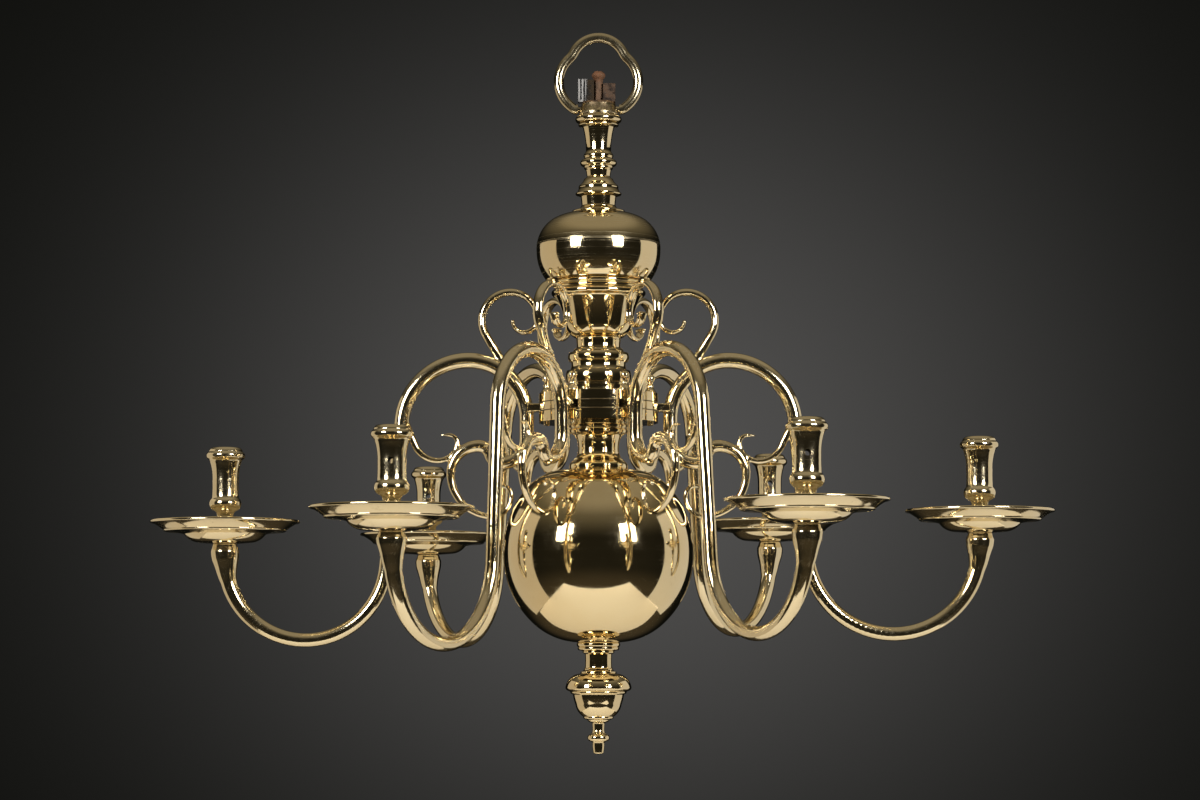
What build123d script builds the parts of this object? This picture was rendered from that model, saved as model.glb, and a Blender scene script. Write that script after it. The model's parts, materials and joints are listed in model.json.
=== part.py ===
from build123d import *
import math
import os

# A six-arm brass candle chandelier. The origin is where a hook bears on the inside top of the
# hanging ring, +Z is up along the stem, and +X runs out along the first arm. Sizes are in millimetres.

# Arms
arm_count = 6
arm_spacing = 360 / arm_count

# The arms are hand cast and differ: how high each ends above the plain one, how many degrees it is
# tipped up in its slot, the radius of its outer arch, the lean of its leg in degrees and the radius of
# its bowl
arm_rises = (11, 16.5, 2, 0, -3, 3.5)
arm_tips = (0, 0, 0.3, 0, -0.4, 0.3)
arm_arches = (67, 67, 67, 67, 62, 67)
arm_leans = (5, 6, 6, 6, 3.5, 5.5)
arm_bowls = (86, 82.5, 80, 80, 86, 82)

# Fits
seat_gap = 0.3  # between faces of pieces that move past each other
running_gap = 0.1  # between a pin that turns and its hole
rod_gap = 0.5  # between the tie rod and the sections threaded on it

# Hanging ring
ring_bar_radius = 5.1
ring_drop = 68.4  # from the bearing point down to the ring's own pivots
ring_crown_radius = 28
ring_crown_turn = 63
ring_neck_radius = 24
ring_neck_turn = 20
ring_side_radius = 32
ring_side_turn = 98
ring_elbow_radius = 6
ring_pin_radius = 3
ring_pin_depth = 8  # how far each end reaches into the collar
ring_shoulder_gap = 1

# Tie rod and the wedges driven in beside it
rod_radius = 4.5
rod_rise = 33.5  # from the collar's top to the top of the rod's head
rod_crown_radius = 2.5
rod_head_steps = [(6.7, 5.0, 1.6), (rod_radius, 3.5, 0.0)]  # written like the outlines below
rod_end_depth = 16  # how far the rod screws into the finial nut
washer_radius = 16.2
washer_thickness = 3
washer_recess = 1
strip_thickness = 2
strip_leaf_count = 3
strip_leaf_gap = 1.5
strip_depth = 9
strip_height = 23.5
plate_thickness = 7
plate_depth = 12
plate_height = 22.5
block_thickness = 12.5
block_depth = 14
block_height = 19
block_top_depth = 11

# Turned outlines, each a list of steps going down: the radius at the foot of the step, the height
# of the step, and how far its side swells out (or, below zero, hollows in) from a straight line
collar_crown_radius = 17.2
collar_radius = 19.9  # at the widest, beside the ring's pivots
pivot_below_collar_top = 5.1
baluster_steps = [
    (collar_radius, 8.6, -0.4),
    (collar_radius, 1.7, 0.0),
    (20.6, 1.8, -0.4),
    (20.6, 7.1, 2.8),
    (18.2, 1.1, 0.0),
    (20.1, 0.3, 0.0),
    (20.1, 1.5, 0.3),
    (15.9, 1.6, -0.4),
    (12.7, 24.0, -0.8),
    (14.6, 3.3, -0.3),
    (15.0, 2.6, 0.2),
    (14.6, 2.8, -0.5),
    (15.3, 7.2, 3.5),
    (14.6, 2.2, -0.3),
    (12.9, 1.6, 0.0),
    (11.8, 6.3, 0.0),
    (14.5, 2.6, -0.3),
    (18.9, 6.1, -0.6),
    (20.1, 2.6, 0.4),
    (20.9, 3.4, -0.3),
    (21.8, 1.8, 0.0),
    (21.8, 2.8, 1.4),
    (17.9, 1.5, 0.0),
    (17.0, 8.9, 0.0),
    (17.8, 1.4, 0.2),
    (25.4, 3.6, -1.0),
    (25.4, 2.4, 1.3),
]
upper_globe_crown_radius = 26
upper_globe_steps = [
    (47.0, 7.1, 1.2),
    (62.5, 32.5, 4.9),
    (53.0, 28.5, 2.4),
    (45.0, 1.0, 0.0),
]
cup_crown_radius = 43
cup_steps = [
    (43.0, 4.6, 1.8),
    (43.0, 4.6, 1.8),
    (46.0, 0.8, 0.0),
    (46.0, 5.4, 1.5),
    (41.0, 3.1, -0.9),
    (33.0, 28.0, -0.8),
    (23.0, 11.4, 1.7),
    (22.5, 2.4, -0.5),
    (22.5, 8.6, -0.6),
]
shoulder_crown_radius = 24
shoulder_steps = [
    (25.5, 3.0, 0.3),
    (29.5, 1.1, -0.3),
    (29.5, 8.6, 1.3),
    (27.5, 0.8, 0.0),
    (28.5, 7.8, -0.7),
    (32.0, 1.0, 0.0),
    (32.5, 11.9, 0.9),
    (31.0, 1.0, 0.0),
    (31.0, 1.4, 0.0),
    (35.5, 1.2, 0.0),
    (36.5, 7.7, -0.6),
]
neck_crown_radius = 27
neck_steps = [
    (27.0, 1.6, 0.0),
    (28.8, 0.3, 0.0),
    (28.8, 3.4, 0.4),
    (27.8, 0.4, 0.0),
    (27.8, 0.5, 0.0),
    (28.8, 0.3, 0.0),
    (28.8, 4.3, 0.5),
    (23.5, 3.0, -0.8),
    (20.6, 8.9, -0.6),
    (20.6, 5.5, -0.2),
    (25.5, 9.5, -1.2),
    (28.5, 3.0, 0.0),
    (28.5, 7.0, 1.0),
]
pendant_crown_radius = 21.2
pendant_steps = [
    (21.2, 3.8, 0.6),
    (20.3, 0.5, 0.0),
    (19.6, 3.4, 0.8),
    (15.6, 1.0, -0.3),
    (15.6, 1.6, 0.2),
    (13.5, 1.2, 0.0),
    (13.4, 12.0, -0.2),
    (14.5, 2.6, -0.3),
    (14.5, 1.0, 0.0),
    (17.8, 1.8, -0.3),
    (17.8, 1.6, 0.2),
    (32.8, 12.9, 3.4),
    (32.3, 3.2, 0.4),
    (29.2, 1.6, 0.3),
    (28.0, 0.8, 0.0),
    (27.6, 1.6, 0.2),
    (25.5, 1.2, -0.2),
    (23.0, 9.7, 0.3),
    (15.0, 12.1, 1.6),
    (14.5, 2.0, 0.3),
    (11.0, 1.2, 0.0),
    (9.3, 2.0, 0.2),
    (7.0, 0.7, 0.0),
]
finial_crown_radius = 7
finial_steps = [
    (6.2, 1.5, -0.2),
    (5.9, 4.4, 0.0),
    (7.9, 5.5, -0.7),
    (7.5, 7.0, 3.4),
    (5.9, 1.6, 0.0),
    (5.2, 8.6, 0.3),
    (3.6, 2.1, 0.6),
    (0.0, 0.6, 0.0),
]

# Great globe: two part-spheres with a short band between them, each drawn in to a flat end
globe_radius = 95.5
globe_band = 3
crown_angle = 42  # above the band, where the tighter curve to the crown begins
crown_curve = 50
foot_angle = 47  # below the band, where the tighter curve to the foot begins
foot_curve = 70
globe_wall = 3
spigot_radius = 13
spigot_length = 5

# Arm receiver: a disc in three bands, with a slot in its rim for each arm's tongue
pin_circle_radius = 52
tongue_radius = 7.8
tongue_thickness = 8
disc_radius = pin_circle_radius + tongue_radius
disc_groove = 0.9  # width and depth of the turned grooves that part the bands
upper_band = 9.4
lower_band = 10.9
arm_swing = 18  # how far the slot lets an arm turn to either side, in degrees

# Lug pins, dropped through the disc and the tongues
pin_radius = 3
pin_tail = 3  # how far the pin shows below the disc
pin_knob_crown_radius = 0.5
pin_knob_steps = [
    (2.7, 7.4, 3.2),
    (2.4, 2.0, 0.0),
    (3.6, 1.2, 0.3),
    (3.2, 0.8, 0.0),
    (5.6, 5.2, -0.5),
    (6.0, 0.8, 0.0),
    (6.0, 2.0, 0.3),
]

# Arm casting, followed from the tongue: radius and turn of each bend, length of each straight
limb_reach = 20  # from the pin out to the upright limb
limb_drop = 10.7  # from the tongue's middle down to where the arch springs
limb_radius = 7.4
arch_inner_radius = 58.5
arch_tube_radius = 8
arm_drop = 136.4  # from the tongue's middle down to the plain arm's mouth
leg_radius = 6.8
bowl_first_turn = 100
bowl_tube_radius = 7.1
trumpet_flare_turn = 10  # the last part of the bowl, where the trumpet starts to widen
trumpet_length = 9.6
trumpet_bend_radius = 120
trumpet_swell_share = 0.6  # share of the last bend, up to the trumpet's widest place
trumpet_lip = 2.4
trumpet_radii = [8.2, 11.0, 13.7, 14.3, 12.4, 12.2]  # from the start of the flare up to the mouth

limb_length = 20
heel_radius = 25
swan_radius = 12
swan_turn = 74
swan_tube_radius = 6.4
volute_bends = [(28, -90), (43, -85), (20, -100), (10, -130)]
volute_tube_radii = [4.4, 3.0, 2.4, 2.0]

scroll_start = 0.35  # share of the inner arch, from its foot, where the upper scroll leaves it
scroll_stalk = 62
scroll_bends = [(29, 121.5), (27, 90), (13.8, 90), (11.3, 85)]
scroll_tube_radii = [5.0, 4.2, 3.8, 2.9, 2.4, 1.9]

tendril_start = 0.97  # share of the outer arch, from its crown, where the inner tendril leaves it
tendril_lean = 33  # how far it leans in from the arch
tendril_stalk = 32
tendril_bends = [(25, -62), (20, -80), (8.5, -105)]
tendril_tube_radii = [4.6, 3.5, 3.0, 2.6, 1.9]
beak_length = 8
beak_radius = 0.7
tip_swell = 0.5  # how much wider the round knob on a scroll's tip is than the tip

# Drip pan
pan_radius = 73.5
pan_thickness = 1.8
pan_rim_radius = 1.5
pan_steps = [(62.0, 7.2, -0.5), (57.0, 1.8, 0.0), (41.0, 2.6, -0.3), (26.0, 8.4, 2.0)]
pan_floor_drop = 1.1
pan_ring_radius = 60  # of the second ring, under the brim
pan_ring_drop = 9.4
nut_radius = 5
nut_length = 12

# Candle nozzle
candle_bore_radius = 11
candle_bore_depth = 50
ejector_radius = 3
ejector_drop = 32.5  # from the nozzle's mouth to the middle of the ejector holes
nozzle_crown_radius = 13.4
nozzle_steps = [
    (17.0, 4.2, 0.8),
    (17.6, 0.6, 0.0),
    (17.8, 6.6, 1.7),
    (15.6, 3.6, -0.5),
    (13.1, 18.0, -0.8),
    (13.4, 17.0, -0.2),
    (14.0, 1.0, 0.0),
    (12.0, 12.0, 3.1),
    (8.5, 4.0, -0.9),
    (7.7, 3.5, 0.0),
    (10.0, 3.0, -0.3),
    (10.0, 2.5, 0.5),
    (8.5, 8.0, -0.4),
    (14.0, 9.0, -1.6),
    (14.0, 1.5, 0.0),
]


def height_of(steps):
    return sum(height for radius, height, swell in steps)


def side_of(start, steps):
    """The side of a turned piece: lines and arcs from its top edge down."""
    edges = []
    here = start
    for radius, height, swell in steps:
        there = (radius, here[1] - height)
        if swell:
            edges.append(SagittaArc(here, there, swell))
        else:
            edges.append(Line(here, there))
        here = there
    return edges, here


def turned(crown_radius, steps, top, bore):
    """A solid of revolution about the stem's line, with a hole right through it."""
    side, foot = side_of((crown_radius, top), steps)
    outline = [Line((bore, top), (crown_radius, top))] + side
    if foot[0] > bore:
        outline.append(Line(foot, (bore, foot[1])))
    outline.append(Line((bore, foot[1]), (bore, top)))
    return revolve(Plane.XZ * make_face(outline), Axis.Z)


def upright(radius, length, top):
    """A cylinder on the stem's line, hanging down from a height."""
    return Pos(0, 0, top) * Cylinder(radius, length, align=(Align.CENTER, Align.CENTER, Align.MAX))


def trace(start, heading, moves):
    """A path in the plane of an arm: straights (length,) and bends (radius, turn)."""
    edges = []
    here = Vector(*start)
    ahead = Vector(math.cos(math.radians(heading)), math.sin(math.radians(heading)))
    for move in moves:
        if len(move) == 1:
            edge = Line(here, here + ahead * move[0])
        else:
            edge = JernArc(start=here, tangent=ahead, radius=move[0], arc_size=move[1])
        edges.append(edge)
        here = edge @ 1
        ahead = edge % 1
    return edges


def heading_at(edge, share):
    ahead = edge % share
    return math.degrees(math.atan2(ahead.Y, ahead.X))


def ring_section(edge, share, radius):
    """A disc across a path in the plane of an arm."""
    here = edge @ share
    ahead = edge % share
    plane = Plane(origin=(here.X, 0, here.Y), x_dir=(0, 1, 0), z_dir=(ahead.X, 0, ahead.Y))
    return plane * Circle(radius)


def bar_skin(edges, radii):
    """The skin of a round bar along a path, with a radius at each joint that runs on to the next."""
    skin = []
    for edge, first, last in zip(edges, radii, radii[1:]):
        ends = [ring_section(edge, 0, first), ring_section(edge, 1, last)]
        length = sweep(sections=ends, path=Plane.XZ * edge, multisection=True)
        skin += [face for face in length.faces() if face.geom_type != GeomType.PLANE]
    return skin


def bar_end(edge, share, radius):
    return ring_section(edge, share, radius).faces()


def tip_knob(edge, radius):
    tip = edge @ 1
    return Pos(tip.X, 0, tip.Y) * Sphere(radius + tip_swell)


def round_bar(edges, radii):
    """A round bar in the plane of an arm, swelling and tapering from joint to joint."""
    skin = bar_skin(edges, radii) + bar_end(edges[0], 0, radii[0]) + bar_end(edges[-1], 1, radii[-1])
    return Solid(Shell(skin))


# Heights along the stem, each section standing on the one below it
pivot_height = -ring_drop
collar_top = pivot_height + pivot_below_collar_top
globe_top = collar_top - height_of(baluster_steps)
cup_top = globe_top - height_of(upper_globe_steps)
shoulder_top = cup_top - height_of(cup_steps)
receiver_top = shoulder_top - height_of(shoulder_steps)
slot_height = tongue_thickness + 2 * seat_gap
receiver_height = upper_band + slot_height + lower_band
neck_top = receiver_top - receiver_height
great_globe_top = neck_top - height_of(neck_steps)
tongue_level = receiver_top - upper_band - slot_height / 2

# The great globe's two centres, and what its halves stand on
crown_rise = crown_curve + (globe_radius - crown_curve) * math.sin(math.radians(crown_angle))
foot_drop = foot_curve + (globe_radius - foot_curve) * math.sin(math.radians(foot_angle))
upper_centre = great_globe_top - crown_rise
lower_centre = upper_centre - globe_band
pendant_top = lower_centre - foot_drop
finial_top = pendant_top - height_of(pendant_steps)
rod_hole = rod_radius + rod_gap


def hanging_ring():
    crown = (0, ring_bar_radius)
    bends = [(ring_crown_radius, -ring_crown_turn), (ring_neck_radius, ring_neck_turn)]
    bends.append((ring_side_radius, -ring_side_turn))
    elbow_turn = 180 - ring_crown_turn + ring_neck_turn - ring_side_turn
    side = trace(crown, 0, bends)
    fall = (side[-1] @ 1).Y - pivot_height - ring_elbow_radius * (1 - math.cos(math.radians(elbow_turn)))
    leg = fall / math.sin(math.radians(elbow_turn))
    path = trace(crown, 0, bends + [(leg,), (ring_elbow_radius, -elbow_turn)])
    elbow_end = (path[-1] @ 1).X
    shoulder = collar_radius + ring_shoulder_gap
    path.append(Line((elbow_end, pivot_height), (shoulder, pivot_height)))
    wire = Wire([Plane.XZ * edge for edge in path])
    half = sweep(ring_section(path[0], 0, ring_bar_radius), path=wire)
    pin_length = shoulder - collar_radius + ring_pin_depth
    pin = Pos(shoulder, 0, pivot_height) * Rot(0, -90, 0) * Cylinder(
        ring_pin_radius, pin_length, align=(Align.CENTER, Align.CENTER, Align.MIN)
    )
    half = half + pin
    return half + mirror(half, about=Plane.YZ)


def top_baluster():
    body = turned(collar_crown_radius, baluster_steps, collar_top, rod_hole)
    body -= upright(washer_radius, washer_recess, collar_top)
    pivot_hole = Cylinder(ring_pin_radius + running_gap, ring_pin_depth + seat_gap)
    for side in (-1, 1):
        middle = side * (collar_radius - (ring_pin_depth + seat_gap) / 2)
        body -= Pos(middle, 0, pivot_height) * Rot(0, 90, 0) * pivot_hole
    foot = globe_top + spigot_length
    spigot = upright(spigot_radius, 2 * spigot_length, foot) - upright(rod_hole, 2 * spigot_length, foot)
    return body + spigot


def tie_rod():
    top = collar_top + rod_rise
    shank = upright(rod_radius, top - finial_top + rod_end_depth, top)
    return shank + turned(rod_crown_radius, rod_head_steps, top, 0)


def packing_washer():
    thickness = washer_thickness
    top = collar_top - washer_recess + thickness
    return upright(washer_radius, thickness, top) - upright(rod_radius, thickness, top)


def standing_block(inner, outer, depth, height, side, top_depth=None):
    """A block on the packing washer, between two distances from the rod's middle."""
    floor = collar_top - washer_recess + washer_thickness
    top_depth = top_depth or depth
    middle = side * (inner + outer) / 2
    foot = Pos(middle, 0, floor) * Rectangle(outer - inner, depth)
    crown = Pos(middle, 0, floor + height) * Rectangle(outer - inner, top_depth)
    return loft([foot, crown])


def folded_strip():
    """A steel strip folded back and forth on itself, up, down and up again."""
    pitch = strip_thickness + strip_leaf_gap
    body = None
    for leaf in range(strip_leaf_count):
        inner = rod_radius + plate_thickness + leaf * pitch
        outer = inner + strip_thickness
        piece = standing_block(inner, outer, strip_depth, strip_height, -1)
        if leaf > 0:
            fold = standing_block(inner - pitch, outer, strip_depth, strip_thickness, -1)
            rise = strip_height - strip_thickness if leaf % 2 else 0
            piece = piece + Pos(0, 0, rise) * fold
        body = piece if body is None else body + piece
    return body


def upper_globe():
    body = turned(upper_globe_crown_radius, upper_globe_steps, globe_top, spigot_radius)
    inner_steps = [(radius - globe_wall, height, swell) for radius, height, swell in upper_globe_steps[:-1]]
    first = inner_steps[0]
    last = inner_steps[-1]
    inner_steps[0] = (first[0], first[1] - globe_wall / 2, first[2])
    inner_steps[-1] = (last[0], last[1] - globe_wall, last[2])
    crown = upper_globe_crown_radius - globe_wall
    return body - turned(crown, inner_steps, globe_top - globe_wall, spigot_radius - globe_wall)


def banded_cup():
    body = turned(cup_crown_radius, cup_steps, cup_top, rod_hole)
    top = cup_top + spigot_length
    return body + (upright(spigot_radius, spigot_length, top) - upright(rod_hole, spigot_length, top))


def stepped_shoulder():
    return turned(shoulder_crown_radius, shoulder_steps, shoulder_top, rod_hole)


def arm_receiver():
    body = upright(disc_radius, receiver_height, receiver_top)
    slot_radius = tongue_radius + seat_gap
    reach = disc_radius - pin_circle_radius + slot_radius
    way = Pos(reach / 2, 0, tongue_level) * Box(reach, 2 * slot_radius, slot_height)
    slot = upright(slot_radius, slot_height, tongue_level + slot_height / 2)
    for turn in (-arm_swing, arm_swing):
        slot += Rot(0, 0, turn) * way
    slot += upright(pin_radius + running_gap, receiver_height, receiver_top)
    for index in range(arm_count):
        body -= Rot(0, 0, index * arm_spacing) * Pos(pin_circle_radius, 0, 0) * slot
    groove = upright(disc_radius + disc_groove, disc_groove, disc_groove / 2)
    groove -= upright(disc_radius - disc_groove, disc_groove, disc_groove / 2)
    for side in (-1, 1):
        body -= Pos(0, 0, tongue_level + side * slot_height / 2) * groove
    return body - upright(rod_hole, receiver_height, receiver_top)


def lower_neck():
    body = turned(neck_crown_radius, neck_steps, neck_top, rod_hole)
    foot = great_globe_top
    return body + (upright(spigot_radius, spigot_length, foot) - upright(rod_hole, spigot_length, foot))


def globe_half(centre, way, angle, curve, wall):
    """Half of the globe's side, from its flat end to its band, in from the surface by a wall."""
    lean = math.radians(angle)
    bend = (lean + math.pi / 2) / 2
    outer = globe_radius - wall
    inner = curve - wall
    across = (globe_radius - curve) * math.cos(lean)
    along = (globe_radius - curve) * math.sin(lean)

    def at(radius, height):
        return (radius, centre + way * height)

    flat = at(across, along + inner)
    halfway = at(across + inner * math.cos(bend), along + inner * math.sin(bend))
    spring = at(outer * math.cos(lean), outer * math.sin(lean))
    flank = at(outer * math.cos(lean / 2), outer * math.sin(lean / 2))
    return [
        Line(at(spigot_radius, along + inner), flat),
        ThreePointArc(flat, halfway, spring),
        ThreePointArc(spring, flank, at(outer, 0)),
    ]


def globe_outline(wall):
    crown = globe_half(upper_centre, 1, crown_angle, crown_curve, wall)
    foot = globe_half(lower_centre, -1, foot_angle, foot_curve, wall)
    band = Line(crown[-1] @ 1, foot[-1] @ 1)
    bore = Line(crown[0] @ 0, foot[0] @ 0)
    return make_face(crown + foot + [band, bore])


def great_globe():
    shell = globe_outline(0) - globe_outline(globe_wall)
    return revolve(Plane.XZ * shell, Axis.Z)


def pendant():
    body = turned(pendant_crown_radius, pendant_steps, pendant_top, rod_hole)
    top = pendant_top + spigot_length
    return body + (upright(spigot_radius, spigot_length, top) - upright(rod_hole, spigot_length, top))


def finial_nut():
    return turned(finial_crown_radius, finial_steps, finial_top, 0) - upright(
        rod_radius, rod_end_depth, finial_top
    )


def arm_main(tip, arch, lean, bowl, leg):
    """The centre line of an arm's main bar, from where its arch springs out to its mouth."""
    pin = Vector(pin_circle_radius, tongue_level)
    spring = pin + Vector(limb_reach, -limb_drop).rotate(Axis.Z, tip)
    bowl_turn = 180 - 2 * lean
    return trace(
        (spring.X, spring.Y),
        90 + tip,
        [
            (arch_inner_radius, -90),
            (arch, lean - 90),
            (leg,),
            (bowl, bowl_first_turn),
            (bowl, bowl_turn - bowl_first_turn - trumpet_flare_turn),
            (bowl, trumpet_flare_turn),
            (trumpet_length,),
            (trumpet_bend_radius, (lean - tip) * trumpet_swell_share),
            (trumpet_bend_radius, (lean - tip) * (1 - trumpet_swell_share)),
            (trumpet_lip,),
        ],
    )


def arm_paths(rise, tip, arch, lean, bowl):
    """The centre lines of one arm's casting: main bar out, volute in, upper scroll and tendril."""
    short = arm_main(tip, arch, lean, bowl, 1)
    fall = (short[-1] @ 1).Y - (tongue_level - arm_drop + rise)
    leg = 1 + fall / math.cos(math.radians(lean - tip))
    main = arm_main(tip, arch, lean, bowl, leg)
    spring = main[0] @ 0
    swan = [(limb_length,), (heel_radius, 90), (swan_radius, swan_turn), (swan_radius, -swan_turn)]
    volute = trace((spring.X, spring.Y), tip - 90, swan + volute_bends)
    scroll = trace(
        tuple(main[0] @ scroll_start)[:2],
        heading_at(main[0], scroll_start),
        [(scroll_stalk,)] + scroll_bends,
    )
    tendril = trace(
        tuple(main[1] @ tendril_start)[:2],
        heading_at(main[1], tendril_start) - tendril_lean,
        [(tendril_stalk,)] + tendril_bends + [(beak_length,)],
    )
    return main, volute, scroll, tendril


def arm_casting(paths):
    main, volute, scroll, tendril = paths
    main_radii = [limb_radius, arch_tube_radius, limb_radius, leg_radius, bowl_tube_radius]
    main_radii += trumpet_radii
    volute_radii = [limb_radius, limb_radius, swan_tube_radius, swan_tube_radius, swan_tube_radius]
    volute_radii += volute_tube_radii
    tendril_radii = tendril_tube_radii + [beak_radius]
    skin = bar_skin(main, main_radii) + bar_skin(volute, volute_radii)
    ends = bar_end(main[-1], 1, main_radii[-1]) + bar_end(volute[-1], 1, volute_radii[-1])
    body = Solid(Shell(skin + ends))
    body += round_bar(scroll, scroll_tube_radii)
    body += round_bar(tendril, tendril_radii)
    body += tip_knob(volute[-1], volute_radii[-1])
    body += tip_knob(scroll[-1], scroll_tube_radii[-1])
    eye = upright(tongue_radius, tongue_thickness, tongue_level + tongue_thickness / 2)
    bar = Pos(limb_reach / 2, 0, tongue_level) * Box(limb_reach, 2 * tongue_radius, tongue_thickness)
    body += Pos(pin_circle_radius, 0, 0) * (eye + bar)
    body -= Pos(pin_circle_radius, 0, 0) * upright(
        pin_radius + running_gap, 2 * tongue_thickness, tongue_level + tongue_thickness
    )
    mouth = main[-1] @ 1
    return body - Pos(mouth.X, 0, 0) * upright(nut_radius, nut_length, mouth.Y)


def drip_pan(mouth):
    floor = mouth.Y + pan_thickness
    nozzle_foot = nozzle_steps[-1][0]
    rim = floor + height_of(pan_steps) + pan_floor_drop
    top_side, top_foot = side_of((pan_radius, rim), pan_steps)
    low_side, low_foot = side_of((pan_radius, rim - pan_thickness), pan_steps)
    outline = [Line((pan_radius, rim - pan_thickness), (pan_radius, rim))] + top_side + low_side
    outline.append(Line(top_foot, (nozzle_foot, floor)))
    outline.append(Line((nozzle_foot, floor), (nut_radius, floor)))
    outline.append(Line(low_foot, (trumpet_radii[-1], mouth.Y)))
    outline.append(Line((trumpet_radii[-1], mouth.Y), (nut_radius, mouth.Y)))
    outline.append(Line((nut_radius, mouth.Y), (nut_radius, floor)))
    body = revolve(Plane.XZ * make_face(outline), Axis.Z)
    body += Pos(0, 0, rim - pan_thickness / 2) * Torus(pan_radius, pan_rim_radius)
    body += Pos(0, 0, rim - pan_ring_drop) * Torus(pan_ring_radius, pan_rim_radius)
    return Pos(mouth.X, 0, 0) * body


def candle_nozzle(mouth, azimuth):
    floor = mouth.Y + pan_thickness
    top = floor + height_of(nozzle_steps)
    body = turned(nozzle_crown_radius, nozzle_steps, top, 0)
    body -= upright(candle_bore_radius, candle_bore_depth, top)
    body += upright(nut_radius, nut_length + pan_thickness, floor)
    widest = max(radius for radius, height, swell in nozzle_steps)
    ejector = Pos(0, 0, top - ejector_drop) * Rot(90, 0, 0) * Cylinder(ejector_radius, 2 * widest)
    # The holes of the two side nozzles face along their arms, the others face front and back
    facing = 90 if azimuth % 180 == 0 else -azimuth
    return Pos(mouth.X, 0, 0) * (body - Rot(0, 0, facing) * ejector)


def lug_pin():
    top = receiver_top + height_of(pin_knob_steps)
    knob = turned(pin_knob_crown_radius, pin_knob_steps, top, 0)
    shank = upright(pin_radius, receiver_height + pin_tail, receiver_top)
    return Pos(pin_circle_radius, 0, 0) * (knob + shank)


strip_start = rod_radius + plate_thickness
nodes = {
    "hanging_ring": hanging_ring(),
    "tie_rod": tie_rod(),
    "packing_washer": packing_washer(),
    "folded_strip": folded_strip(),
    "iron_plate": standing_block(rod_radius, strip_start, plate_depth, plate_height, -1),
    "iron_block": standing_block(
        rod_radius, rod_radius + block_thickness, block_depth, block_height, 1, block_top_depth
    ),
    "top_baluster": top_baluster(),
    "upper_globe": upper_globe(),
    "banded_cup": banded_cup(),
    "stepped_shoulder": stepped_shoulder(),
    "arm_receiver": arm_receiver(),
    "lower_neck": lower_neck(),
    "great_globe": great_globe(),
    "pendant": pendant(),
    "finial_nut": finial_nut(),
}
for index in range(arm_count):
    azimuth = index * arm_spacing
    shape = (arm_tips[index], arm_arches[index], arm_leans[index], arm_bowls[index])
    paths = arm_paths(arm_rises[index], *shape)
    mouth = paths[0][-1] @ 1
    turn = Rot(0, 0, azimuth)
    number = index + 1
    nodes[f"arm_{number}"] = turn * arm_casting(paths)
    nodes[f"drip_pan_{number}"] = turn * drip_pan(mouth)
    nodes[f"candle_nozzle_{number}"] = turn * candle_nozzle(mouth, azimuth)
    nodes[f"lug_pin_{number}"] = turn * lug_pin()
    print(f"arm {number} mouth at radius {mouth.X:.2f}, height {mouth.Y:.2f}")

os.makedirs("parts", exist_ok=True)
for name, solid in nodes.items():
    export_step(solid, f"parts/{name}.step")
stem_foot = finial_top - height_of(finial_steps)
print(f"{len(nodes)} pieces, receiver top {receiver_top:.2f}, stem foot {stem_foot:.2f}")
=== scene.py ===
import json
import math
from functools import partial

import bmesh
import bpy
from mathutils import Matrix, Vector


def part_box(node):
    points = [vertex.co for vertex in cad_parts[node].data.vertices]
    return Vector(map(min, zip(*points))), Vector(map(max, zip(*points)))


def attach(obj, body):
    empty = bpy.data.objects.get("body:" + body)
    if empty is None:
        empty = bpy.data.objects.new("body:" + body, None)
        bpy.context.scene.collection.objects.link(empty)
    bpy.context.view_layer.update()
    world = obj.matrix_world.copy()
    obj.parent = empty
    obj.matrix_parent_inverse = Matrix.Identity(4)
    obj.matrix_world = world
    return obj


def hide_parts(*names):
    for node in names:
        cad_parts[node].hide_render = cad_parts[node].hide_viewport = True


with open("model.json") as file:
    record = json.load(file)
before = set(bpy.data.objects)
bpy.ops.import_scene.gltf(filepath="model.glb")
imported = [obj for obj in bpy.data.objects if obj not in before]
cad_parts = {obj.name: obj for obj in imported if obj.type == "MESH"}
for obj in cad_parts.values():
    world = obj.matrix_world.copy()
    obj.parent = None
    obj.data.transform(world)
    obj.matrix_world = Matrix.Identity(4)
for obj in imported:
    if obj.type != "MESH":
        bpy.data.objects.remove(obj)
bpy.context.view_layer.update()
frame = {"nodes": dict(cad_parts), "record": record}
nodes = frame["nodes"]
bodies = frame["record"]["behaviour"]["bodies"]
bodyOf = {node: body for body, members in bodies.items() for node in members}


class Wire:
    # a shader socket that can be used in plain sums
    def __init__(self, finish, socket):
        self.finish = finish
        self.socket = socket

    def sum(self, operation, first, second):
        return self.finish.add("ShaderNodeMath", {"operation": operation}, {0: first, 1: second})

    def __add__(self, other):
        return self.sum("ADD", self, other)

    def __radd__(self, other):
        return self.sum("ADD", other, self)

    def __sub__(self, other):
        return self.sum("SUBTRACT", self, other)

    def __rsub__(self, other):
        return self.sum("SUBTRACT", other, self)

    def __mul__(self, other):
        return self.sum("MULTIPLY", self, other)

    def __rmul__(self, other):
        return self.sum("MULTIPLY", other, self)

    def __pow__(self, other):
        return self.sum("POWER", self, other)

    def __abs__(self):
        return self.finish.add("ShaderNodeMath", {"operation": "ABSOLUTE"}, {0: self})

    def part(self, letter):
        return self.finish.add("ShaderNodeSeparateXYZ", None, {"Vector": self}, letter)


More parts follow.
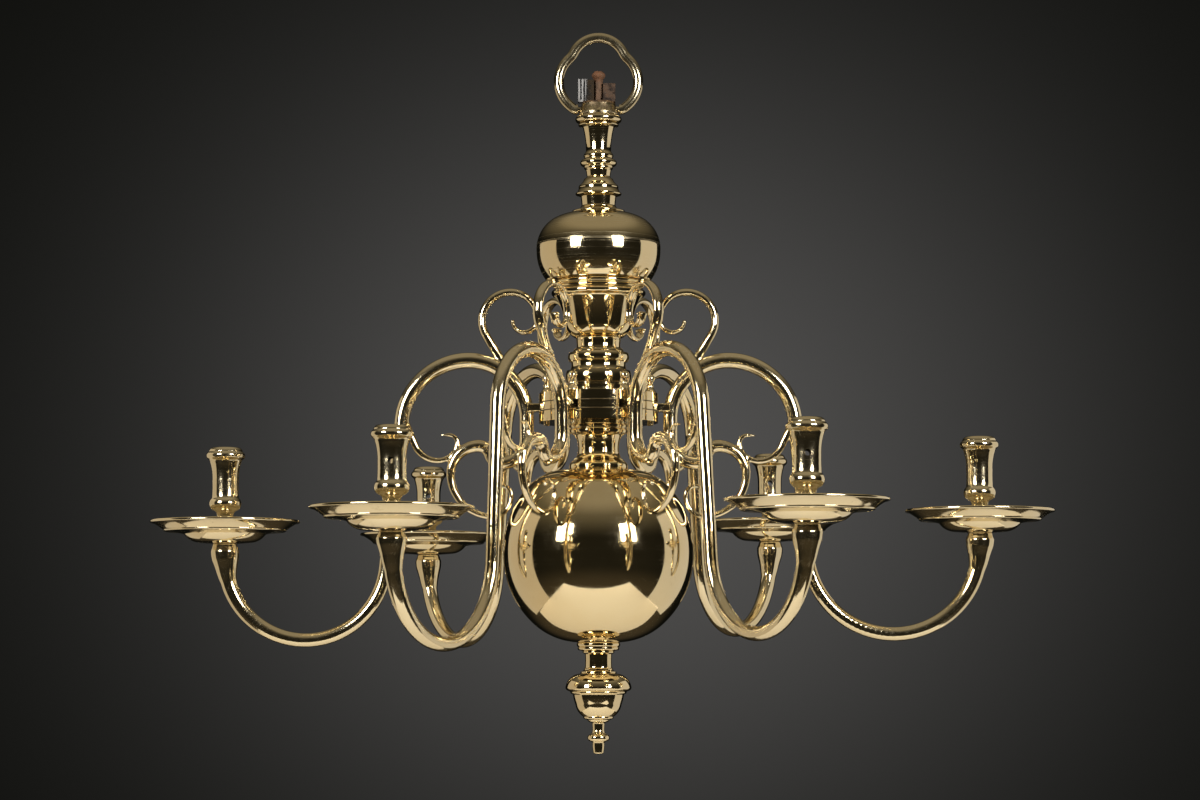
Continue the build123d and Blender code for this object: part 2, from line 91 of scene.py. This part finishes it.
class Finish:
    # one node tree, built up node by node
    def __init__(self, owner):
        owner.use_nodes = True
        self.owner = owner
        self.tree = owner.node_tree
        self.tree.nodes.clear()

    def add(self, kind, settings=None, inputs=None, output=0):
        node = self.tree.nodes.new(kind)
        for name, value in (settings or {}).items():
            setattr(node, name, value)
        for name, value in (inputs or {}).items():
            if isinstance(value, Wire):
                self.tree.links.new(value.socket, node.inputs[name])
            else:
                node.inputs[name].default_value = value
        return Wire(self, node.outputs[output]) if len(node.outputs) else node

    def spot(self):
        return self.add("ShaderNodeTexCoord", None, None, "Object")

    def noise(self, spot, grain):
        inputs = {"Scale": grain["scale"], "Detail": grain["detail"], "Roughness": grain["rough"]}
        inputs["Vector"] = spot
        return self.add("ShaderNodeTexNoise", {"noise_dimensions": "3D"}, inputs, "Fac")

    def ramp(self, value, low, high):
        # 0 below low, 1 above high, soft between
        settings = {"interpolation_type": "SMOOTHSTEP", "clamp": True}
        inputs = {"Value": value, "From Min": low, "From Max": high}
        return self.add("ShaderNodeMapRange", settings, inputs)

    def patches(self, spot, grain):
        # noise cut into patches with a soft edge
        return self.ramp(self.noise(spot, grain), *grain["edge"])

    def mix(self, amount, first, second):
        # a Mix node's colours are its inputs 6 and 7 and its output 2
        settings = {"data_type": "RGBA", "clamp_factor": True}
        return self.add("ShaderNodeMix", settings, {0: amount, 6: first, 7: second}, 2)

    def spread(self, x, y, z):
        return self.add("ShaderNodeCombineXYZ", None, {"X": x, "Y": y, "Z": z})

    def bump(self, height, relief):
        inputs = {"Height": height, "Strength": relief["strength"], "Distance": relief["distance"]}
        return self.add("ShaderNodeBump", None, inputs)

    def shade(self, inputs):
        shader = self.add("ShaderNodeBsdfPrincipled", None, inputs)
        self.add("ShaderNodeOutputMaterial", None, {"Surface": shader})
        return self.owner


class Surface:
    # colour and roughness, with one coat laid over another
    def __init__(self, finish, colour, rough):
        self.finish = finish
        self.colour = colour
        self.rough = rough

    def coat(self, amount, layer):
        self.colour = self.finish.mix(amount * layer["cover"], self.colour, layer["colour"])
        self.rough = self.rough + amount * layer["rough"]


def highCorner(node):
    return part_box(node)[1]


# Polished brass: paler in patches, with painted shade and grime in its recesses and grooves, a few
# pits and old stains
brassTones = {
    "turned": {"pale": (0.845, 0.715, 0.455, 1.0), "warm": (0.825, 0.680, 0.410, 1.0)},
    "cast": {"pale": (0.830, 0.722, 0.492, 1.0), "warm": (0.805, 0.684, 0.440, 1.0)},
    "worn": {"pale": (0.660, 0.575, 0.390, 1.0), "warm": (0.630, 0.535, 0.345, 1.0)},
}
# ripple and rings are relief, the other three are roughness
turned = {"tones": "turned", "ripple": 0.18, "rings": 0.03}
cast = {"tones": "cast", "ripple": 0.60, "rings": 0.0}
brassKinds = {
    "turned_brass": {**turned, "marks": 0.10, "shine": 0.045, "haze": 0.07},
    "upper_brass": {
        **turned,
        "ripple": 0.25,
        "rings": 0.02,
        "marks": 0.28,
        "shine": 0.045,
        "haze": 0.09,
    },
    "collar_brass": {**turned, "marks": 0.12, "shine": 0.05, "haze": 0.08},
    "disc_brass": {**turned, "marks": 0.08, "shine": 0.04, "haze": 0.06},
    "cast_brass": {**cast, "marks": 0.18, "shine": 0.075, "haze": 0.10},
    "nozzle_brass": {**cast, "marks": 0.18, "shine": 0.075, "haze": 0.10},
    "pan_brass": {**cast, "ripple": 0.85, "marks": 0.12, "shine": 0.075, "haze": 0.10},
    "ring_brass": {
        **cast,
        "tones": "worn",
        "ripple": 0.35,
        "marks": 0.04,
        "shine": 0.17,
        "haze": 0.08,
    },
}
brassGrain = {
    "tone": {"scale": 14.0, "detail": 4.0, "rough": 0.60, "edge": (0.35, 0.68)},
    "haze": {"scale": 60.0, "detail": 6.0, "rough": 0.70, "edge": (0.42, 0.78)},
    "stain": {"scale": 22.0, "detail": 7.0, "rough": 0.72, "edge": (0.61, 0.72)},
    "pitted": {"scale": 35.0, "detail": 2.0, "rough": 0.50, "edge": (0.60, 0.70)},
    "ripple": {"scale": 26.0, "detail": 2.0, "rough": 0.45},
    "lathe": {"scale": 900.0, "detail": 3.0, "rough": 0.50},
    "rubbed": {"scale": 1900.0, "detail": 3.0, "rough": 0.60, "edge": (0.52, 0.72)},
    "runs": {"scale": 240.0, "detail": 4.0, "rough": 0.60},
    "blotch": {"scale": 330.0, "detail": 5.0, "rough": 0.65, "edge": (0.40, 0.56)},
}
brassRelief = {"strength": 0.35, "distance": 0.0006}
stain = {"colour": (0.46, 0.33, 0.15, 1.0), "cover": 0.55, "rough": 0.10}
# painted shade and grime, laid in where the surface is hemmed in
grimeAndShade = {
    "colour": (0.10, 0.060, 0.020, 1.0),
    "cover": 0.75,
    "rough": 0.3,
    "reach": 0.005,
    "samples": 6,
    "edge": (0.42, 0.95),
}
pits = {"scale": 260.0, "edge": (0.07, 0.16), "cover": 0.5, "depth": 0.4}
# rust washed down from the iron that is driven into the collar
rust = {
    "colour": (0.075, 0.038, 0.016, 1.0),
    "cover": 0.85,
    "rough": 0.4,
    "belowTop": (0.0102, 0.0022),  # where the rust ends, and where it is full
    "uneven": 0.010,
}
# painted shade and old polish in the two grooves between the bands of the arm receiver
grooveShadeAndPolish = {
    "colour": grimeAndShade["colour"],
    "cover": 0.9,
    "rough": 0.4,
    "belowTop": (0.0094, 0.0180),  # one for each groove
    "halfWidth": (0.00040, 0.00060),  # where the polish is full, and where it ends
}
# candle soot and painted shade: the bore of each nozzle is painted nearly black
sootAndShade = {
    "colour": (0.010, 0.008, 0.005, 1.0),
    "cover": 1.0,
    "rough": 0.5,
    "attribute": "sootAndShade",
    "boreRadius": 0.0113,
    "fromMouth": 0.002,
    "toFoot": 0.051,
}


def findShadeAndGrime(finish):
    # how hemmed in the surface is: the mask of the painted shade and grime
    settings = {"samples": grimeAndShade["samples"], "only_local": True}
    inputs = {"Distance": grimeAndShade["reach"]}
    openness = finish.add("ShaderNodeAmbientOcclusion", settings, inputs, "AO")
    return finish.ramp(1.0 - openness, *grimeAndShade["edge"])


def findPits(finish, spot):
    inputs = {"Vector": spot, "Scale": pits["scale"]}
    cells = finish.add("ShaderNodeTexVoronoi", {"feature": "F1"}, inputs, "Distance")
    return finish.patches(spot, brassGrain["pitted"]) * (1.0 - finish.ramp(cells, *pits["edge"]))


def findRust(finish, spot):
    low, high = (highCorner("top_baluster").z - drop for drop in rust["belowTop"])
    wavy = spot.part("Z") + finish.noise(spot, brassGrain["runs"]) * rust["uneven"]
    return finish.ramp(wavy, low, high) * finish.patches(spot, brassGrain["blotch"])


# a band at one groove's height, for the painted shade and old polish there
def findGrooveShade(finish, spot, drop):
    away = spot.part("Z") - (highCorner("arm_receiver").z - drop)
    return 1.0 - finish.ramp(abs(away), *grooveShadeAndPolish["halfWidth"])


def brassFinish(name):
    kind = brassKinds[name]
    tones = brassTones[kind["tones"]]
    finish = Finish(bpy.data.materials.new(name))
    spot = finish.spot()
    shadedRecesses = findShadeAndGrime(finish)
    pitted = findPits(finish, spot)
    colour = finish.mix(finish.patches(spot, brassGrain["tone"]), tones["pale"], tones["warm"])
    rough = kind["shine"] + finish.patches(spot, brassGrain["haze"]) * kind["haze"]
    surface = Surface(finish, colour, rough)
    surface.coat(finish.patches(spot, brassGrain["stain"]), stain)
    # painted shade and grime in the recesses, and the pits, darken the colour
    dark = shadedRecesses * grimeAndShade["cover"] + pitted * pits["cover"]
    surface.colour = finish.mix(dark, surface.colour, grimeAndShade["colour"])
    surface.rough = surface.rough + shadedRecesses * grimeAndShade["rough"]
    height = finish.noise(spot, brassGrain["ripple"]) * kind["ripple"]
    lines = spot
    if kind["rings"]:
        # fine lines left by the lathe, around the stem's line
        across, along, upward = spot.part("X"), spot.part("Y"), spot.part("Z")
        lines = finish.spread((across * across + along * along) ** 0.5, 0.0, upward)
        height = height + finish.noise(lines, brassGrain["lathe"]) * kind["rings"]
    # hair-fine marks of the polishing cloth, too small to see one by one
    surface.rough = surface.rough + finish.patches(lines, brassGrain["rubbed"]) * kind["marks"]
    if name == "collar_brass":
        surface.coat(findRust(finish, spot), rust)
    # painted shade and candle soot blacken the nozzle's bore
    if name == "nozzle_brass":
        settings = {"attribute_name": sootAndShade["attribute"]}
        surface.coat(finish.add("ShaderNodeAttribute", settings, None, "Fac"), sootAndShade)
    # painted shade and old polish darken the arm receiver's two grooves
    if name == "disc_brass":
        for drop in grooveShadeAndPolish["belowTop"]:
            surface.coat(findGrooveShade(finish, spot, drop), grooveShadeAndPolish)
    inputs = {"Base Color": surface.colour, "Metallic": 1.0, "Roughness": surface.rough}
    inputs["Normal"] = finish.bump(height - pitted * pits["depth"], brassRelief)
    return finish.shade(inputs)


# Iron that was forged and left to rust, a little different on each piece
ironKinds = {
    "rod_iron": {
        "dark": (0.030, 0.018, 0.011, 1.0),
        "body": (0.140, 0.085, 0.052, 1.0),
        "rust": (0.160, 0.070, 0.034, 1.0),
    },
    "block_iron": {
        "dark": (0.014, 0.009, 0.007, 1.0),
        "body": (0.076, 0.047, 0.030, 1.0),
        "rust": (0.115, 0.063, 0.036, 1.0),
    },
    "plate_iron": {
        "dark": (0.006, 0.005, 0.004, 1.0),
        "body": (0.026, 0.017, 0.008, 1.0),
        "rust": (0.050, 0.028, 0.012, 1.0),
    },
    "packing_iron": {
        "dark": (0.030, 0.016, 0.008, 1.0),
        "body": (0.110, 0.062, 0.028, 1.0),
        "rust": (0.220, 0.140, 0.064, 1.0),
    },
}
iron = {
    "broad": {"scale": 130.0, "detail": 6.0, "rough": 0.65},
    "fine": {"scale": 700.0, "detail": 5.0, "rough": 0.70},
    "bodyEdge": (0.36, 0.56),
    "rustEdge": (0.52, 0.64),
    "coarseEdge": (0.35, 0.65),
    "sheen": 0.15,
    "smooth": 0.46,
    "coarse": 0.35,
    "rustShares": (0.5, 0.5),  # of the broad pattern and of the fine one
    "reliefShares": (0.6, 0.4),
    "relief": {"strength": 0.9, "distance": 0.0012},
}
# rust covers most of the rod's hammered head, and less of its shank than of the other iron
rodHead = {"belowTop": (0.0132, 0.0072), "edge": (0.35, 0.6), "shankShare": 0.4}


def ironFinish(name):
    kind = ironKinds[name]
    finish = Finish(bpy.data.materials.new(name))
    spot = finish.spot()
    broad = finish.noise(spot, iron["broad"])
    fine = finish.noise(spot, iron["fine"])
    colour = finish.mix(finish.ramp(broad, *iron["bodyEdge"]), kind["dark"], kind["body"])
    ofBroad, ofFine = iron["rustShares"]
    rusted = finish.ramp(broad * ofBroad + fine * ofFine, *iron["rustEdge"])
    if name == "rod_iron":
        low, high = (highCorner("tie_rod").z - drop for drop in rodHead["belowTop"])
        head = finish.ramp(spot.part("Z"), low, high) * finish.ramp(fine, *rodHead["edge"])
        rusted = rusted * rodHead["shankShare"] + head
    inputs = {
        "Base Color": finish.mix(rusted, colour, kind["rust"]),
        "Specular IOR Level": iron["sheen"],
        "Roughness": iron["smooth"] + finish.ramp(fine, *iron["coarseEdge"]) * iron["coarse"],
    }
    ofBroad, ofFine = iron["reliefShares"]
    inputs["Normal"] = finish.bump(broad * ofBroad + fine * ofFine, iron["relief"])
    return finish.shade(inputs)


# Bright strip steel: its sides painted nearly black, as soot and as painted shade between the
# leaves, its cut edge streaked
steel = {
    "bright": (0.48, 0.47, 0.455, 1.0),
    "dull": (0.06, 0.055, 0.05, 1.0),
    "sootAndShade": (0.012, 0.010, 0.008, 1.0),
    "streaks": {"scale": 620.0, "detail": 3.0, "rough": 0.60, "edge": (0.42, 0.56)},
    "drawnOut": (1.0, 1.0, 0.06),
    "insideCutEdge": (0.0006, 0.0002),  # where it starts to be bright, and where it is wholly so
    "rough": 0.46,
    "streakRough": 0.15,
    "sootRough": 0.3,
}


def steelFinish(name):
    finish = Finish(bpy.data.materials.new(name))
    spot = finish.spot()
    drawn = finish.add("ShaderNodeMapping", None, {"Vector": spot, "Scale": steel["drawnOut"]})
    streaks = finish.patches(drawn, steel["streaks"])
    low, high = (highCorner("folded_strip").y - depth for depth in steel["insideCutEdge"])
    edge = finish.ramp(abs(spot.part("Y")), low, high)
    cut = finish.mix(streaks, steel["bright"], steel["dull"])
    # the sides are painted nearly black: soot and painted shade between the leaves
    colour = finish.mix(edge, steel["sootAndShade"], cut)
    rough = steel["rough"] + streaks * steel["streakRough"] + (1.0 - edge) * steel["sootRough"]
    return finish.shade({"Base Color": colour, "Metallic": 1.0, "Roughness": rough})


finishes = {name: brassFinish(name) for name in brassKinds}
finishes.update({name: ironFinish(name) for name in ironKinds})
finishes["bright_steel"] = steelFinish("bright_steel")
print("finishes:", len(finishes))

merge = {"gap": 2e-6, "hardAngle": math.radians(32)}


def mergedMesh(node):
    # a CAD node's mesh is loose triangles, so its copy is joined up first
    bm = bmesh.new()
    bm.from_mesh(nodes[node].data)
    bmesh.ops.remove_doubles(bm, verts=bm.verts, dist=merge["gap"])
    return bm


def soften(bm, angle):
    # smooth shading, with a hard line only where two faces meet sharply
    for face in bm.faces:
        face.smooth = True
    for edge in bm.edges:
        edge.smooth = not (edge.is_manifold and edge.calc_face_angle(0.0) > angle)


def toMesh(bm, name):
    mesh = bpy.data.meshes.new(name)
    bm.to_mesh(mesh)
    bm.free()
    return mesh


def addPiece(name, bm, material, node):
    mesh = toMesh(bm, name)
    mesh.materials.append(material)
    piece = bpy.data.objects.new(name, mesh)
    bpy.context.scene.collection.objects.link(piece)
    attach(piece, bodyOf[node])
    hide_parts(node)
    return piece


def polishedCopy(node, material, reshape=None):
    bm = mergedMesh(node)
    if reshape:
        reshape(bm)
    soften(bm, merge["hardAngle"])
    return addPiece(node + "_finish", bm, material, node)


spinning = {
    "steps": 96,
    "panSteps": 56,
    "onPlane": 4e-6,
    "levels": 1,
    "hardAngle": math.radians(24),
}


def keepSeam(bm):
    # only the outline in the XZ plane stays, and its open ends at one height are joined
    seam = {v for v in bm.verts if abs(v.co.y) < spinning["onPlane"] and v.co.x > 0.0}
    kept = {e for e in bm.edges if e.verts[0] in seam and e.verts[1] in seam}
    bmesh.ops.delete(bm, geom=[e for e in bm.edges if e not in kept], context="EDGES_FACES")
    stray = [v for v in bm.verts if v not in seam or not v.link_edges]
    bmesh.ops.delete(bm, geom=stray, context="VERTS")
    ends = [v for v in bm.verts if len(v.link_edges) == 1]
    loose = sorted(ends, key=lambda v: (v.co.z, v.co.x))
    while len(loose) > 1:
        first = loose.pop(0)
        match = [v for v in loose if abs(v.co.z - first.co.z) < spinning["onPlane"]]
        if match:
            loose.remove(match[0])
            bm.edges.new((first, match[0]))


def spunCopy(node, material, steps, centre=(0.0, 0.0), azimuth=0.0):
    # the seam that a turned piece carries in its mesh, spun again with evenly spaced steps
    home = Matrix.Translation((*centre, 0.0)) @ Matrix.Rotation(azimuth, 4, "Z")
    bm = mergedMesh(node)
    bmesh.ops.transform(bm, matrix=home.inverted(), verts=bm.verts)
    keepSeam(bm)
    bmesh.ops.spin(
        bm,
        geom=list(bm.verts) + list(bm.edges),
        cent=(0, 0, 0),
        axis=(0, 0, 1),
        angle=math.tau,
        steps=steps,
        use_merge=True,
    )
    bmesh.ops.remove_doubles(bm, verts=bm.verts, dist=merge["gap"])
    bmesh.ops.recalc_face_normals(bm, faces=bm.faces)
    bmesh.ops.transform(bm, matrix=home, verts=bm.verts)
    soften(bm, spinning["hardAngle"])
    crease = bm.edges.layers.float.new("crease_edge")
    for edge in bm.edges:
        edge[crease] = 0.0 if edge.smooth else 1.0
    piece = addPiece(node + "_spun", bm, material, node)
    rounding = piece.modifiers.new("rounding", "SUBSURF")
    rounding.levels = spinning["levels"]
    rounding.render_levels = spinning["levels"]


# The upper scroll of an arm is a strap: broader across than it is thick, and broadest at its tip
strap = {
    "beginsBelowTop": 0.064,
    "wholeBelowTop": 0.046,
    "eyeBelowTop": 0.0275,
    "tipReach": (0.010, 0.026),
    "broader": 0.40,
    "tipBroader": 1.30,
}


def ease(value, low, high):
    share = min(max((value - low) / (high - low), 0.0), 1.0)
    return share * share * (3.0 - 2.0 * share)


def broadenScroll(bm, turn):
    outward = Vector((math.cos(turn), math.sin(turn), 0.0))
    across = Vector((-math.sin(turn), math.cos(turn), 0.0))
    top = max(bm.verts, key=lambda v: v.co.z).co.copy()
    eye = top - Vector((0.0, 0.0, strap["eyeBelowTop"]))
    for vert in bm.verts:
        drop = top.z - vert.co.z
        onStrap = 1.0 - ease(drop, strap["wholeBelowTop"], strap["beginsBelowTop"])
        fromEye = vert.co - eye
        away = math.hypot(fromEye.dot(outward), fromEye.z)
        growth = strap["broader"] + strap["tipBroader"] * (1.0 - ease(away, *strap["tipReach"]))
        vert.co += across * (vert.co.dot(across) * growth * onStrap)


casting = {"grain": 0.00095, "factor": 0.5, "passes": 5}


def castSkin(piece):
    # an even skin that runs softly from one bar into the next, as in a casting
    skin = piece.modifiers.new("cast_skin", "REMESH")
    skin.mode = "VOXEL"
    skin.voxel_size = casting["grain"]
    skin.use_smooth_shade = True
    eased = piece.modifiers.new("eased", "SMOOTH")
    eased.factor = casting["factor"]
    eased.iterations = casting["passes"]


# marks the bore to be painted nearly black, for candle soot and painted shade
def paintBoreShade(bm, place):
    layer = bm.verts.layers.float.new(sootAndShade["attribute"])
    mouth = max(vert.co.z for vert in bm.verts)
    for vert in bm.verts:
        inBore = math.hypot(vert.co.x - place[0], vert.co.y - place[1]) < sootAndShade["boreRadius"]
        deep = sootAndShade["fromMouth"] < mouth - vert.co.z < sootAndShade["toFoot"]
        vert[layer] = 1.0 if inBore and deep else 0.0


wornEdge = {"width": 0.00035, "segments": 2, "angle": math.radians(50)}


def wearEdges(piece):
    bevel = piece.modifiers.new("worn_edges", "BEVEL")
    bevel.width = wornEdge["width"]
    bevel.segments = wornEdge["segments"]
    bevel.limit_method = "ANGLE"
    bevel.angle_limit = wornEdge["angle"]


def dressStem():
    spunCopy("upper_globe", finishes["upper_brass"], spinning["steps"])
    for node in ("banded_cup", "stepped_shoulder", "lower_neck", "great_globe", "pendant"):
        spunCopy(node, finishes["turned_brass"], spinning["steps"])
    polishedCopy("finial_nut", finishes["turned_brass"])
    polishedCopy("arm_receiver", finishes["disc_brass"])
    polishedCopy("top_baluster", finishes["collar_brass"])
    polishedCopy("hanging_ring", finishes["ring_brass"])


def dressArm(number):
    low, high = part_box(f"drip_pan_{number}")
    middle = (low + high) / 2
    turn = math.atan2(middle.y, middle.x)
    place = (middle.x, middle.y)
    strapped = partial(broadenScroll, turn=turn)
    castSkin(polishedCopy(f"arm_{number}", finishes["cast_brass"], strapped))
    boreShaded = partial(paintBoreShade, place=place)
    wearEdges(polishedCopy(f"candle_nozzle_{number}", finishes["nozzle_brass"], boreShaded))
    polishedCopy(f"lug_pin_{number}", finishes["cast_brass"])
    spunCopy(f"drip_pan_{number}", finishes["pan_brass"], spinning["panSteps"], place, turn)


def dressIron():
    polishedCopy("tie_rod", finishes["rod_iron"])
    polishedCopy("packing_washer", finishes["packing_iron"])
    wearEdges(polishedCopy("iron_plate", finishes["plate_iron"]))
    wearEdges(polishedCopy("iron_block", finishes["block_iron"]))
    polishedCopy("folded_strip", finishes["bright_steel"])


armCount = sum(node.startswith("drip_pan_") for node in nodes)
dressStem()
for number in range(1, armCount + 1):
    dressArm(number)
dressIron()


# A pale sheet on the floor under the chandelier, seen mostly in the brass
floor = {
    "centre": (0.0, -0.185, -1.38),
    "half": (0.94, 0.745),
    "turn": math.radians(-3.0),
    "cells": 8,
    "colour": (0.92, 0.875, 0.80, 1.0),
    "rough": 0.8,
}


def addFloor():
    shape = (
        Matrix.Translation(floor["centre"])
        @ Matrix.Rotation(floor["turn"], 4, "Z")
        @ Matrix.Diagonal((*floor["half"], 1.0, 1.0))
    )
    cells = floor["cells"]
    bm = bmesh.new()
    bmesh.ops.create_grid(bm, x_segments=cells, y_segments=cells, size=1.0, matrix=shape)
    mesh = toMesh(bm, "floor")
    finish = Finish(bpy.data.materials.new("pale_floor"))
    inputs = {"Base Color": floor["colour"], "Roughness": floor["rough"]}
    mesh.materials.append(finish.shade(inputs))
    sheet = bpy.data.objects.new("floor", mesh)
    bpy.context.scene.collection.objects.link(sheet)


addFloor()

# Two soft boxes in front, a tall pale panel on each side
softBox = {
    "aim": (0.0, 0.0, -0.45),
    "size": (0.84, 0.92),
    "watts": 55.0,
    "colour": (1.0, 0.98, 0.95),
}
panel = {"aim": (0.0, 0.44, -0.685), "size": (1.12, 1.43)}
lamps = {
    "key_left": {**softBox, "at": (-1.72, -1.90, 0.36)},
    "key_right": {**softBox, "at": (1.52, -2.06, 0.36)},
    "panel_left": {
        **panel,
        "at": (-0.94, 0.44, -0.685),
        "watts": 2.65,
        "colour": (1.0, 0.86, 0.66),
    },
    "panel_right": {
        **panel,
        "at": (0.94, 0.44, -0.685),
        "watts": 3.15,
        "colour": (1.0, 0.915, 0.79),
    },
}


def addLamp(name, lamp):
    data = bpy.data.lights.new(name, "AREA")
    data.shape = "RECTANGLE"
    data.size, data.size_y = lamp["size"]
    data.energy = lamp["watts"]
    data.color = lamp["colour"]
    light = bpy.data.objects.new(name, data)
    light.location = lamp["at"]
    way = Vector(lamp["aim"]) - light.location
    light.rotation_euler = way.to_track_quat("-Z", "Y").to_euler()
    light.visible_camera = False
    bpy.context.scene.collection.objects.link(light)


for name, lamp in lamps.items():
    addLamp(name, lamp)

# A dark room with a lit ceiling, and a soft glow on the wall behind
room = {
    "wallBehind": (0.0045, 0.0046, 0.0036, 1.0),
    "wallInFront": (0.0150, 0.0135, 0.0095, 1.0),
    "upperWall": (0.150, 0.130, 0.090, 1.0),
    "ceiling": (0.290, 0.252, 0.184, 1.0),
    "ground": (0.050, 0.040, 0.026, 1.0),
    "glow": (0.0809, 0.0788, 0.0761, 1.0),
    "frontToBack": (-0.6, 0.6),
    "wallFades": (0.21, 0.82),
    "ceilingFrom": (0.62, 0.88),
    "groundFades": (0.25, 0.65),
    "glowAt": (0.0107, 0.0712),
    "glowReach": (0.1254, 0.1114),
    "glowBehind": (0.0, 0.5),
}


def addRoom():
    world = bpy.data.worlds.new("room")
    bpy.context.scene.world = world
    finish = Finish(world)
    outward = finish.add("ShaderNodeTexCoord", None, None, "Generated")
    side, back, up = outward.part("X"), outward.part("Y"), outward.part("Z")
    behind = finish.ramp(back, *room["frontToBack"])
    colour = finish.mix(behind, room["wallInFront"], room["wallBehind"])
    colour = finish.mix(finish.ramp(up, *room["wallFades"]), colour, room["upperWall"])
    colour = finish.mix(finish.ramp(up, *room["ceilingFrom"]), colour, room["ceiling"])
    colour = finish.mix(finish.ramp(0.0 - up, *room["groundFades"]), colour, room["ground"])
    aside = (side - room["glowAt"][0]) * (1.0 / room["glowReach"][0])
    above = (up - room["glowAt"][1]) * (1.0 / room["glowReach"][1])
    far = 0.0 - (aside * aside + above * above)
    halo = finish.add("ShaderNodeMath", {"operation": "EXPONENT"}, {0: far})
    colour = finish.mix(halo * finish.ramp(back, *room["glowBehind"]), colour, room["glow"])
    shade = finish.add("ShaderNodeBackground", None, {"Color": colour, "Strength": 1.0})
    finish.add("ShaderNodeOutputWorld", None, {"Surface": shade})


addRoom()

# The photograph's own view: a long lens a little above the stem's foot, looking up
shot = {
    "distance": 3.27,
    "side": 0.0015,
    "height": -0.6512,
    "aimHeight": -0.3634,
    "lens": 98.1,
    "film": 36.0,
}


def addCamera():
    data = bpy.data.cameras.new("camera")
    data.lens = shot["lens"]
    data.sensor_width = shot["film"]
    camera = bpy.data.objects.new("camera", data)
    camera.location = (shot["side"], -shot["distance"], shot["height"])
    aim = Vector((shot["side"], 0.0, shot["aimHeight"])) - camera.location
    camera.rotation_euler = aim.to_track_quat("-Z", "Y").to_euler()
    bpy.context.scene.collection.objects.link(camera)
    bpy.context.scene.camera = camera


addCamera()
bpy.context.scene.view_settings.view_transform = "Standard"

print("camera, lamps and floor set")
